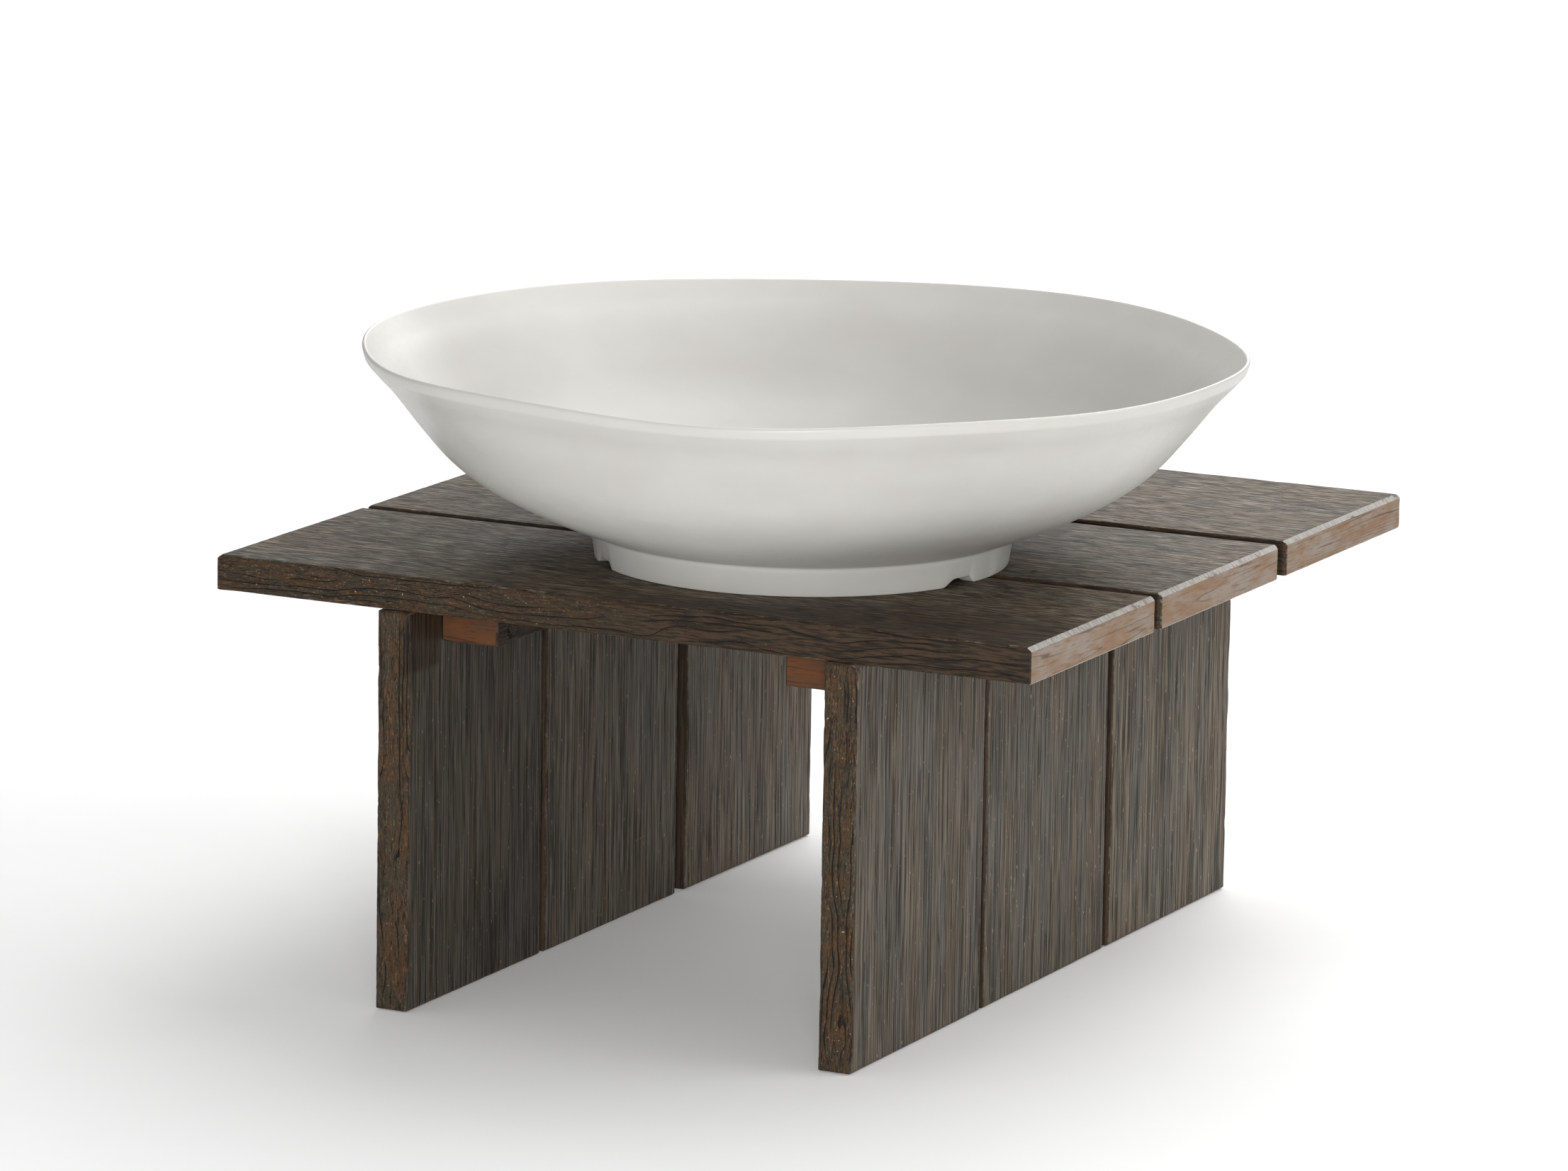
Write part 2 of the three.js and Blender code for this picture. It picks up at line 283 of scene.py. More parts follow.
# Tones of the weathered stain, 0 to 255 as in a picture, and the sizes of its grain in mm: along and across.
# wave is how far the grain sways, and crack_width how far a crack reaches to each side at most, in mm.
WOODS = {
    "top": {
        "brown": (90, 73, 52), "cool": (77, 72, 62), "light": (146, 136, 117),
        "fine": (14, 1.05), "streaks": (30, 1.8), "lines": (45, 6), "wave": 1.3,
        "edge_shade": 1.0, "crack_width": 0.45,
    },
    "leg": {
        "brown": (92, 79, 64), "cool": (81, 78, 72), "light": (118, 110, 97),
        "fine": (60, 1.1), "streaks": (110, 2.2), "lines": (200, 3.2), "wave": 0.8,
        "edge_shade": 1.1, "crack_width": 0.6,
    },
    "batten": {
        "brown": (66, 54, 42), "cool": (54, 53, 50), "light": (94, 88, 80),
        "fine": (24, 0.9), "streaks": (30, 1.8), "lines": (40, 4), "wave": 1.0,
        "edge_shade": 1.0, "crack_width": 0.45,
    },
}
GROOVE = srgb(30, 25, 19)
CRACK = srgb(12, 8, 5)
FLECK = srgb(190, 160, 128)
EDGE_TONES = (66, 48, 30), (55, 48, 36), (108, 64, 34)
# a dark brown for real stain and for painted shade
STAIN_AND_SHADE_BROWN = srgb(64, 48, 33)


def thin_lines(g, value, level, width):
    """1 along the places where value passes level."""
    return g.step(g.math("ABSOLUTE", g.math("SUBTRACT", value, level)), width, 0.25 * width)


def shaded(tone, shade):
    return srgb(*[value * shade for value in tone])


def weathered_face(g, wood, shade, axis, grain, shift):
    """Brushed faces: bands and streaks of brown and grey, dark lines and worn ridges."""
    brown, cool, light = [shaded(wood[key], shade) for key in ("brown", "cool", "light")]
    bands = g.noise(g.place(along(axis, 190, 15), shift, grain), 2, 0.6)
    patches = g.noise(g.place(along(axis, 70, 45), shift + 1), 2, 0.6)
    streaks = g.noise(g.place(along(axis, *wood["streaks"]), shift + 4, grain), 1, 0.5)
    fine = g.noise(g.place(along(axis, *wood["fine"]), shift + 2, grain), 2, 0.62)
    lines = g.noise(g.place(along(axis, *wood["lines"]), shift + 3, grain), 1, 0.5)
    flecks = g.noise(g.place(along(axis, 4, 1.5), shift + 5), 1, 0.5)
    tone = g.math("ADD", g.math("ADD", g.times(bands, 0.35), g.times(patches, 0.25)), g.times(streaks, 0.4))
    base = g.mix(g.step(tone, 0.42, 0.58), brown, cool)
    base = g.mix(g.times(g.step(fine, 0.5, 0.36), 0.85), base, GROOVE)
    base = g.mix(g.times(g.step(fine, 0.5, 0.68), 0.75), base, light)
    base = g.mix(g.times(thin_lines(g, lines, 0.5, 0.03), 0.75), base, GROOVE)
    base = g.mix(g.times(g.step(flecks, 0.72, 0.78), 0.5), base, FLECK)
    return base, fine


def weathered_edge(g, wood, axis, grain, shift):
    """The boards' long edges: rough brown with orange and grey patches, hair cracks and pale specks."""
    patches = g.noise(g.place(along(axis, 22, 7), shift + 6), 3, 0.65)
    orange = g.noise(g.place(along(axis, 7, 3), shift + 7), 2, 0.6)
    fibres = g.noise(g.place(along(axis, 6, 0.8), shift + 8, grain), 4, 0.7)
    pits = g.noise(g.place(along(axis, 1.6, 0.9), shift + 13), 2, 0.6)
    hairs = g.noise(g.place(along(axis, 30, 3.2), shift + 10, grain), 3, 0.6)
    specks = g.noise(g.place((1.2, 1.2, 1.2), shift + 9), 0, 0.5)
    rough = g.math("ADD", g.times(fibres, 0.6), g.times(pits, 0.4))
    dark_brown, cool_brown, bright_orange = [shaded(tone, wood["edge_shade"]) for tone in EDGE_TONES]
    base = g.mix(g.step(patches, 0.38, 0.62), dark_brown, cool_brown)
    base = g.mix(g.times(g.step(orange, 0.58, 0.76), 0.4), base, bright_orange)
    base = g.mix(g.times(g.step(rough, 0.5, 0.38), 0.7), base, CRACK)
    base = g.mix(g.times(g.step(rough, 0.54, 0.68), 0.28), base, FLECK)
    base = g.mix(g.times(thin_lines(g, hairs, 0.47, 0.018), 0.8), base, CRACK)
    return g.mix(g.times(g.step(specks, 0.83, 0.88), 0.7), base, FLECK), rough


def aged_wood(name, kind, axis, seed, shade):
    """Weathered plank: brushed faces, denser long edges with pale worn corners, cracks, stains and painted
    shade.
    """
    wood = WOODS[kind]
    g = Graph(name)
    shift = 3.7 * seed
    grain = wavy(g, axis, wood["wave"], shift)
    edge, stain_and_shade = g.attribute("edge"), g.attribute("stain_and_shade")
    face, fine = weathered_face(g, wood, shade, axis, grain, shift)
    side, rough = weathered_edge(g, wood, axis, grain, shift)
    # dark brown from the attribute: real stain in places, painted shade on the sides towards gaps, and both
    # along the front board's right half
    stained = g.mix(g.step(fine, 0.58, 0.4), STAIN_AND_SHADE_BROWN, GROOVE)
    base = g.mix(stain_and_shade, g.mix(edge, face, side), stained)
    corner = g.times(g.times(edge, g.invert(edge)), 4)
    worn = g.noise(g.place(along(axis, 5, 2), shift + 11), 2, 0.6)
    base = g.mix(g.times(g.times(corner, g.step(worn, 0.5, 0.7)), 0.6), base, shaded(wood["light"], shade))
    width = g.spread(g.noise(g.place(along(axis, 9, 5), shift + 12), 2, 0.6), 0.0, wood["crack_width"])
    crack = g.math("LESS_THAN", g.math("ABSOLUTE", g.attribute("split")), width)
    base = g.mix(g.times(crack, g.attribute("open")), base, CRACK)
    height = g.math("SUBTRACT", g.mix(edge, fine, rough), g.times(g.times(crack, g.attribute("open")), 0.5))
    return g.finish(base, g.spread(fine, 0.9, 0.45), g.bump(height, 0.5), Specular_IOR_Level=0.25)


def sawn_wood(name, across, seed, tone):
    """A cross-cut end: orange-brown under a pale film, with long dark wavy growth lines along the
    board's width. across is the world axis of that width."""
    g = Graph(name)
    shift = 5.3 * seed
    film = g.noise(g.place(along(across, 30, 10), shift), 3, 0.6)
    growth = g.noise(g.place(along(across, 420, 9), shift + 1), 1, 0.3)
    lines = g.step(g.math("PINGPONG", g.times(growth, 13), 0.5), 0.09, 0.02)
    strength = g.step(g.noise(g.place(along(across, 60, 8), shift + 4), 2, 0.6), 0.3, 0.6)
    fibres = g.noise(g.place(along(across, 10, 1.1), shift + 2), 3, 0.6)
    orange, pale, dark = tone
    base = g.mix(g.step(film, 0.36, 0.66), orange, pale)
    base = g.mix(g.times(g.step(fibres, 0.5, 0.25), 0.5), base, dark)
    base = g.mix(g.times(g.step(fibres, 0.52, 0.72), 0.3), base, pale)
    base = g.mix(g.times(lines, g.times(strength, 0.8)), base, dark)
    return g.finish(base, 0.8, g.bump(fibres, 0.2), Specular_IOR_Level=0.2)


def worn_chamfer(name, seed, pale, dark):
    """The cut corner round a cross-cut end, with fine marks across it."""
    g = Graph(name)
    shift = 2.9 * seed
    rub = g.noise(g.place((6, 9, 6), shift), 3, 0.6)
    hatch = g.noise(g.place((6, 0.8, 6), shift + 1), 2, 0.6)
    base = g.mix(g.step(rub, 0.42, 0.3), pale, dark)
    base = g.mix(g.times(g.step(hatch, 0.48, 0.64), 0.7), base, dark)
    return g.finish(base, 0.75, g.bump(hatch, 0.2), Specular_IOR_Level=0.25)


# ---- Boards ----

EDGE_BORDER = 3.2  # the closely divided border of each face
STAINED, SAWN, WORN = 0, 1, 2  # a board's materials


def round_box(points, size, radii):
    """Box points with the long edges rounded, their directions out, and how far each lies into a
    long edge's round, from 0 to 1. radii are of the low and the high edge."""
    radius = np.where(points[:, 1] < 0, radii[0], radii[1])
    inset = np.stack([np.full(len(points), EDGE_BORDER), radius, radius], axis=1)
    inner = np.clip(points, inset - size / 2, size / 2 - inset)
    reach = (points - inner) / inset
    across = np.abs(reach[:, 1:])
    shrink = across.max(axis=1) / np.maximum(np.hypot(*across.T), 1e-9)
    rounded = points.copy()
    rounded[:, 1:] = inner[:, 1:] + reach[:, 1:] * (shrink * radius)[:, None]
    outward = reach / np.maximum(np.linalg.norm(reach, axis=1), 1e-9)[:, None]
    return rounded, outward, across.min(axis=1)


def chamfer_ends(points, size, cuts):
    """Cuts the corners between the ends and the other faces: cuts are at the low and high long edge,
    and at the bottom and top face."""
    for axis, (low_cut, high_cut) in ((1, cuts[:2]), (2, cuts[2:])):
        cut = np.where(points[:, axis] < 0, low_cut, high_cut)
        over = np.abs(points[:, 0]) + np.abs(points[:, axis]) - (size[0] + size[axis]) / 2 + cut
        over = np.maximum(over, 0) / 2
        points[:, 0] -= np.sign(points[:, 0]) * over
        points[:, axis] -= np.sign(points[:, axis]) * over


def crack_lines(seed, u, w, length, spacing):
    """How far in mm each place is from a crack, with a sign that changes across it, and how open the
    crack is. Cracks run along u, a spacing apart and bent by noise, and they are open in stretches."""
    def field(u, w):
        slow = noise(seed, u / length, w / (2.5 * spacing))
        fast = noise(seed + 1, u / (0.3 * length), w / (1.5 * spacing))
        return w / spacing + 1.1 * slow + 0.35 * fast
    probe, least_slope = 0.5, 0.06  # in mm, and in cracks per mm
    value = field(u, w)
    slope = np.hypot(field(u + probe, w) - value, field(u, w + probe) - value) / probe
    distance = np.sin(np.pi * value) / (np.pi * np.maximum(slope, least_slope))
    return distance, ease(noise(seed + 2, u / (0.8 * length), w / spacing), -0.35, 0.1)


def dent_depth(seed, points, rounding):
    """Knocks along a board's edges and corners."""
    u, v, w = points.T
    knock = ease(noise(seed, u / 8, v / 8, w / 8), 0.3, 0.9)
    nibble = ease(noise(seed + 1, u / 3, v / 3, w / 3), 0.2, 0.9)
    return ease(rounding, 0.1, 0.8) * (0.9 * knock + 0.35 * nibble)


def end_slots(points, size, facing, cuts):
    """Each face's material. The chamfer at the low long edge is stained, and the others are worn."""
    to_end = size[0] / 2 - np.abs(points[:, 0])
    gap_v = size[1] / 2 - np.abs(points[:, 1])
    gap_w = size[2] / 2 - np.abs(points[:, 2])
    cut_w = np.where(points[:, 2] < 0, cuts[2], cuts[3])
    on_end = facing == 0
    low_side = points[:, 1] < 0
    slots = np.where(on_end, SAWN, STAINED)
    slots[on_end & (gap_w < cut_w)] = WORN
    slots[on_end & low_side & (gap_v < cuts[0])] = STAINED
    slots[on_end & ~low_side & (gap_v < cuts[1])] = WORN
    slots[(facing == 1) & ~low_side & (to_end < cuts[1])] = WORN
    slots[(facing == 2) & (to_end < cut_w)] = WORN
    return slots


def end_ticks(length, cuts, step):
    """Divisions of a side, closer near its ends, with a line at each cut's own distance from them."""
    near = sorted({0.0, *[share * cut for cut in cuts for share in (0.5, 1.0)], EDGE_BORDER})
    near = np.array(near)
    count = max(2, round((length - 2 * EDGE_BORDER) / step))
    middle = np.linspace(EDGE_BORDER, length - EDGE_BORDER, count + 1)[1:-1]
    return np.concatenate([near, middle, (length - near)[::-1]]) - length / 2


CRACK_DEPTH, CRACK_REACH = 0.6, 0.6
CRACK_FREE_END = 14  # the cracks fade out towards a board's ends
NO_CRACK = 3.0  # a distance at which no crack is drawn
TOP_CRACKS, LEG_CRACKS = (60, 4.4), (42, 3.6)  # their length and spacing
GAP_PAINTED_SHADE = 0.85  # how dark the painted shade is on the sides towards a gap


def edge_cracks(seed, points, size, side, crack_size):
    """Each point's distance from a crack and how open the crack is, on a board whose weathered long
    edge is its low one for side -1, its high one for 1, or neither for 0."""
    if side == 0:
        return np.full(len(points), NO_CRACK), np.zeros(len(points))
    u, v, w = points.T
    split, is_open = crack_lines(seed, u, w, *crack_size)
    is_open = is_open * ease(side * v, size[1] / 2 - 3, size[1] / 2 - 1)
    return split, is_open * ease(size[0] / 2 - np.abs(u), 0, CRACK_FREE_END)


def chip_depth(points, size, chips):
    """Broken corners: chips are of a corner's signs, a radius and a depth."""
    total = 0
    for at, radius, deep in chips:
        distance = np.linalg.norm((points - np.array(at) * size / 2) / radius, axis=1)
        total = total + deep * (1 - ease(distance, 0.55, 1.0))
    return total


def wear_depth(seed, points, rounding):
    """How far the brushed and knocked surface lies below a new board's."""
    u, v, w = points.T
    swell = 0.5 + 0.5 * noise(seed, u / 110, v / 45, w / 40)
    grooves = np.abs(noise(seed + 1, u / 60, v / 4.5, w / 4.5))
    return 0.12 * swell + 0.14 * grooves + dent_depth(seed + 2, points, rounding)


def stain_and_shade_share(points, size, cracked, stain_and_shade):
    """How much of the dark stain and painted shade each point has: the sides towards a gap or a neighbour get
    painted shade.
    """
    u, v, w = points.T
    stained = stain_and_shade(u, v, w) if stain_and_shade else np.zeros(len(points))
    for side in (-1, 1):
        # painted shade on the sides towards a gap or a neighbour
        if side != cracked:
            painted_gap_shade = ease(side * v, size[1] / 2 - 1.5, size[1] / 2 - 0.1)
            stained = np.maximum(stained, GAP_PAINTED_SHADE * painted_gap_shade)
    return stained


def edge_share(seed, points, size):
    """1 on a board's long edges and 0 on its faces, with a ragged line between."""
    u, v, w = points.T
    ragged = 0.7 * noise(seed, u / 9, w / 9)
    return ease(np.abs(v) + ragged, size[1] / 2 - 2.2, size[1] / 2 - 0.8)


def board_mesh(node, axes, materials, seed, radii, steps, cuts=(1, 1, 1, 1), cracked=0,
               crack_size=TOP_CRACKS, chips=(), stain_and_shade=None):
    """A plank in place of a CAD node. axes are the world axes of its length, width and thickness.
    radii are its long edges' rounding, steps its divisions and cuts its ends' chamfers. cracked is the
    side of its weathered long edge. stain(u, v, w), from 0 to 1, gives real stain and painted shade."""
    low, high = box_mm(node)
    centre, size = (low + high) / 2, (high - low)[list(axes)]
    divisions = [end_ticks(size[0], cuts, steps[0])]
    divisions += [end_ticks(size[i], (*radii, *cuts), steps[i]) for i in (1, 2)]
    raw, quads, facing = box_grid(divisions)
    points, outward, rounding = round_box(raw, size, radii)
    chamfer_ends(points, size, cuts)

    split, is_open = edge_cracks(seed + 10, points, size, cracked, crack_size)
    depth = wear_depth(seed, points, rounding)
    depth = depth + CRACK_DEPTH * is_open * np.exp(-((split / CRACK_REACH) ** 2))
    depth = depth + chip_depth(points, size, chips)
    world = np.empty_like(points)
    world[:, list(axes)] = points - outward * depth[:, None]
    world += centre
    if tuple(axes) != (0, 1, 2):
        quads = quads[:, ::-1]
    attributes = {
        "split": split,
        "open": is_open,
        "edge": edge_share(seed + 3, points, size),
        "stain_and_shade": stain_and_shade_share(points, size, cracked, stain_and_shade),
    }
    slots = end_slots(raw[quads].mean(axis=1), size, facing, cuts)
    return mesh_piece(f"{node}_wood", world, [quads], materials, attributes, slots)


def place_piece(piece, body, slot, *nodes):
    """Ties a finished piece to the frame."""
    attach(piece, body)
    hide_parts(*nodes)


SAWN_TOP = (srgb(134, 108, 86), srgb(142, 130, 119), srgb(84, 70, 60))
SAWN_LEG = (srgb(110, 88, 70), srgb(126, 114, 104), srgb(60, 48, 40))
SAWN_BATTEN = (srgb(102, 64, 40), srgb(88, 62, 44), srgb(40, 27, 19))


def board_materials(kind, name, axes, seed, sawn, chamfer, shade=1.0):
    return [
        aged_wood(f"{name}_stain", kind, axes[0], seed, shade),
        sawn_wood(f"{name}_sawn", axes[1], seed, sawn),
        worn_chamfer(f"{name}_chamfer", seed, *chamfer),
    ]


OUTER_ROUND, INNER_ROUND = 2.2, 1.8
ROW_ROUNDS = {
    "front": (OUTER_ROUND, INNER_ROUND),
    "middle": (INNER_ROUND, INNER_ROUND),
    "back": (INNER_ROUND, OUTER_ROUND),
}
ROW_CRACKS = {"front": -1, "middle": 0, "back": 1}
# brightness of each leg board: the darker front boards are partly their own tone and partly painted shade
LEG_TONES_AND_PAINTED_SHADE = {
    ("left", "front"): 0.87, ("left", "middle"): 1.05, ("left", "back"): 1.12,
    ("right", "front"): 1.0, ("right", "middle"): 1.0, ("right", "back"): 1.07,
}
TOP_END_CUTS = {"front": (0.7, 1.8, 0.8, 2.3), "middle": (1.8, 1.8, 0.8, 2.3), "back": (1.8, 0.7, 0.8, 2.3)}
TOP_STEPS = {"front": (1.6, 2.6, 0.55), "middle": (3.6, 2.4, 0.8), "back": (3.6, 2.4, 0.8)}
LEG_STEPS = {"front": (1.5, 2.2, 0.55), "middle": (3.2, 2, 0.9), "back": (3.2, 2, 0.9)}
LEG_TOP_CHIP = ((1, -1, 1), 5, 1.8)  # a broken corner at the top of the right leg


def front_right_stain_and_shade(u, v, w):
    """The front board's right half is browner along its front edge. u and v are in mm from its middle, and w is
    not used.
    """
    # painted shade together with the wood's own brown: darker along the front edge, most towards the right
    from_front = v + 73
    reach = 30 + 70 * ease(u, 0, 228) + 12 * noise(301, u / 40, v / 20)
    return ease(u, -120, 90) * ease(from_front, reach, 0.3 * reach) * 0.9


def make_top():
    pale_chamfer = (srgb(168, 165, 160), srgb(112, 105, 97))
    for i, row in enumerate(ROWS):
        node, axes = f"top_plank_{row}", (0, 1, 2)
        materials = board_materials("top", node, axes, 3 + i, SAWN_TOP, pale_chamfer)
        piece = board_mesh(
            node, axes, materials, 40 + 20 * i, ROW_ROUNDS[row], TOP_STEPS[row], TOP_END_CUTS[row],
            ROW_CRACKS[row], stain_and_shade=front_right_stain_and_shade if row == "front" else None,
        )
        place_piece(piece, "stand", "top_wood", node)


def by_batten_stain(u, v, w):
    """Dark bare wood on the left front leg board's inner face, in front of the batten."""
    return ease(u, 70, 74) * ease(v, -36, -42) * ease(w, 5, 8)


def make_leg(side, first_seed):
    dark_chamfer = (srgb(96, 84, 72), srgb(60, 50, 42))
    for i, row in enumerate(ROWS):
        node, axes = f"{side}_leg_plank_{row}", (2, 1, 0)
        shade = LEG_TONES_AND_PAINTED_SHADE[side, row]
        materials = board_materials("leg", node, axes, first_seed + i, SAWN_LEG, dark_chamfer, shade)
        piece = board_mesh(
            node, axes, materials, first_seed * 9 + 20 * i, ROW_ROUNDS[row], LEG_STEPS[row],
            cracked=ROW_CRACKS[row], crack_size=LEG_CRACKS,
            chips=[LEG_TOP_CHIP] if (side, row) == ("right", "front") else [],
            stain_and_shade=by_batten_stain if (side, row) == ("left", "front") else None,
        )
        place_piece(piece, "stand", "leg_wood", node)


# ---- Screws, as in the CAD part, with a thread and a finer cross ----

SCREW_LENGTH = 34
HEAD_RADIUS = 4.3
HEAD_RIM = 0.6
HEAD_HEIGHT = 3
CORE_RADIUS = 1.45
THREAD_RADIUS = 2.1
THREAD_PITCH = 2.2
THREAD_START = 8
TIP_LENGTH = 6
SCREW_SIDES = 24
FACE_RADII = [0.25, 0.5, 0.75, 1.0, 1.3, 1.6, 1.9, 2.2, 2.5, 2.9, 3.5, 4.1]
HEAD_RINGS = [(HEAD_RADIUS, 0.2), (HEAD_RADIUS, HEAD_RIM), (THREAD_RADIUS + 0.2, HEAD_HEIGHT - 0.3)]
TIP_BLUNTNESS = 0.08
SCREWS_IN_GROUP = 6
SCREW_TURN = 0.6  # radians, from one screw's cross to the next
SCREW_GROUPS = {"left_leg": -1, "right_leg": 1, "left_top": 0, "right_top": 0}  # the way along X, or up


def cross_depth(x, y):
    """The driving recess: two crossed slots that shallow outwards."""
    radius = np.hypot(x, y)
    narrow = np.minimum(np.abs(x), np.abs(y))
    return 1.9 * ease(narrow, 0.8, 0.45) * ease(radius, 2.5, 0.9)


def shank_radius(height, turn):
    """The thread's radius at a height, where turn is the share of a full turn round the axis."""
    phase = (height / THREAD_PITCH - turn) % 1
    ridge = np.clip(1 - np.abs(phase - 0.5) / 0.3, 0, 1)
    started = ease(height, THREAD_START - 2, THREAD_START)
    core = THREAD_RADIUS - (THREAD_RADIUS - CORE_RADIUS) * started
    taper = ease(SCREW_LENGTH - height, 0, TIP_LENGTH) ** 0.7
    return (core + (THREAD_RADIUS - core) * ridge) * (TIP_BLUNTNESS + (1 - TIP_BLUNTNESS) * taper)


def screw_mesh():
    """Points and faces of one screw standing on its head, tip up."""
    turn = np.arange(SCREW_SIDES) / SCREW_SIDES
    angles = 2 * np.pi * turn
    rings = []
    for radius in FACE_RADII:
        depth = cross_depth(radius * np.cos(angles), radius * np.sin(angles))
        rings.append(ring(radius, angles, depth))
    rings += [ring(radius, angles, height) for radius, height in HEAD_RINGS]
    for height in np.arange(HEAD_HEIGHT, SCREW_LENGTH - 0.4, THREAD_PITCH / 6):
        rings.append(ring(shank_radius(height, turn), angles, height))
    return stack_rings(rings, (0, 0, cross_depth(0, 0)), (0, 0, SCREW_LENGTH))


def brushed_steel(name):
    """Zinc-plated steel with turning marks and dull spots."""
    g = Graph(name)
    marks = g.noise(g.place((0.35, 0.35, 0.35)), 3, 0.6)
    dull = g.noise(g.place((2.5, 2.5, 2.5), 4), 3, 0.6)
    base = g.mix(g.step(dull, 0.4, 0.7), srgb(186, 183, 172), srgb(132, 124, 110))
    roughness = g.spread(g.step(dull, 0.35, 0.7), 0.28, 0.55)
    return g.finish(base, roughness, g.bump(marks, 0.04), Metallic=1.0)


def screw_frames(group, sign):
    """Where each screw of a group stands and which way its tip points, from its CAD node's box."""
    frames = []
    for i in range(SCREWS_IN_GROUP):
        node = f"{group}_screw_{i + 1}"
        low, high = box_mm(node)
        centre = (low + high) / 2
        if sign == 0:
            frames.append((Vector((centre[0], centre[1], low[2])), Vector((0, 0, 1)), node))
        else:
            start = low[0] if sign > 0 else high[0]
            frames.append((Vector((start, centre[1], centre[2])), Vector((sign, 0, 0)), node))
    return frames


def set_up(form, start, direction, turn=0.0):
    """A (points, quads, triangles) form that stands along Z, moved to a start and a direction."""
    points, quads, triangles = form
    rotation = direction.to_track_quat("Z", "Y").to_matrix() @ Matrix.Rotation(turn, 3, "Z")
    return points @ np.array(rotation).T + np.array(start), quads, triangles


def make_screws():
    screw, steel = screw_mesh(), brushed_steel("zinc_steel")
    for number, (group, sign) in enumerate(SCREW_GROUPS.items()):
        frames = screw_frames(group, sign)
        forms = []
        for i, (start, direction, _) in enumerate(frames):
            forms.append(set_up(screw, start, direction, SCREW_TURN * i + number))
        points, faces = join_forms(forms)
        piece = mesh_piece(f"{group}_screws", points, faces, [steel])
        place_piece(piece, "stand", "screw_steel", *[node for _, _, node in frames])


# ---- Battens, with the screws' holes ----

HOLE_GAP = 0.3
LEG_SCREW_SINK = 12
HOLE_SIDES = 24
BATTEN_ROUNDS, BATTEN_STEPS = (1.1, 1.1), (3.2, 1.6, 1.2)


def hole_form(sink):
    """A cutter for a screw's hole, with the head sunk that deep."""
    angles = 2 * np.pi * np.arange(HOLE_SIDES) / HOLE_SIDES
    mouth = -sink - 1
    outline = [
        (HEAD_RADIUS + HOLE_GAP, mouth),
        (HEAD_RADIUS + HOLE_GAP, HEAD_RIM + HOLE_GAP),
        (THREAD_RADIUS + HOLE_GAP, HEAD_HEIGHT + HOLE_GAP),
        (THREAD_RADIUS + HOLE_GAP, SCREW_LENGTH - TIP_LENGTH),
    ]
    rings = [ring(radius, angles, height) for radius, height in outline]
    return stack_rings(rings, (0, 0, mouth), (0, 0, SCREW_LENGTH))


def hole_cutter(side, sign):
    """All the screw holes of one batten: the leg's through its side and the top's from below."""
    forms = []
    for group, direction_sign, sink in ((f"{side}_leg", sign, LEG_SCREW_SINK), (f"{side}_top", 0, 0)):
        hole = hole_form(sink)
        for start, direction, _ in screw_frames(group, direction_sign):
            forms.append(set_up(hole, start, direction))
    points, faces = join_forms(forms)
    return mesh_piece(f"{side}_cutter", points, faces, [], smooth=False)


def cut_holes(piece, cutter):
    """Takes the cutter's solids out of the piece for good."""
    cut = piece.modifiers.new("holes", "BOOLEAN")
    cut.operation = "DIFFERENCE"
    cut.solver = "EXACT"
    cut.object = cutter
    bpy.context.view_layer.update()
    shown = piece.evaluated_get(bpy.context.evaluated_depsgraph_get())
    solid = piece.data
    piece.data = bpy.data.meshes.new_from_object(shown)
    piece.modifiers.clear()
    piece.data.name = solid.name + "_cut"
    bpy.data.meshes.remove(solid)
    bpy.data.objects.remove(cutter)


def make_batten(side, sign, seed):
    node = f"{side}_batten"
    axes = (1, 0, 2)
    dark_chamfer = (srgb(84, 60, 44), srgb(48, 36, 28))
    materials = board_materials("batten", node, axes, seed, SAWN_BATTEN, dark_chamfer)
    piece = board_mesh(node, axes, materials, seed * 11, BATTEN_ROUNDS, BATTEN_STEPS)
    cut_holes(piece, hole_cutter(side, sign))
    place_piece(piece, "stand", "batten_wood", node)


# ---- Bowl, on the CAD part's own curves ----

BOWL_PLACE = (30, -85.4)
BOWL_LIFT = 0.05
BOWL_WALL = 4.2
BOWL_FLOOR = 13
FOOT_RADIUS = 106
FOOT_INSIDE = 93
FOOT_RECESS = 8
RIM_RADIUS = 225.8
RIM_HEIGHT = 108.3
WALL_POINTS = [
    (108.7, 15.2), (124, 20.8), (146, 30.4), (167, 42), (183, 54.5), (197.5, 71),
    (211, 88), (219.3, 96.8), (RIM_RADIUS - 1.6, RIM_HEIGHT - 6.2),
]
FOOT_POINTS = [
    (FOOT_INSIDE, FOOT_RECESS), (94.6, 7.7), (95.8, 6.6), (96.4, 4.5), (96.9, 1.4), (97.3, 0.5), (98.2, 0),
    (101.5, 0), (105.5, 0), (105.9, 0.1), (106.05, 0.4), (106.6, 4.5), (107.3, 8.5), (107.9, 11.8),
    (108.2, 13.4), (108.15, 14.3),
]
LIP_POINTS = [  # inwards and down from the rim's widest and highest
    (1.15, 5.5), (0.85, 4.7), (0.4, 3.1), (0, 1.5), (0.15, 0.8), (0.6, 0.25), (1.2, 0), (1.8, 0.2),
    (2.4, 0.8),
]
RIM_POINTS = [(RIM_RADIUS - inwards, RIM_HEIGHT - down) for inwards, down in LIP_POINTS]
FLOOR_POINTS = [(93, 15.2), (84, 14.2), (72, 13.3), (54, 13.05), (34, BOWL_FLOOR), (12, BOWL_FLOOR)]
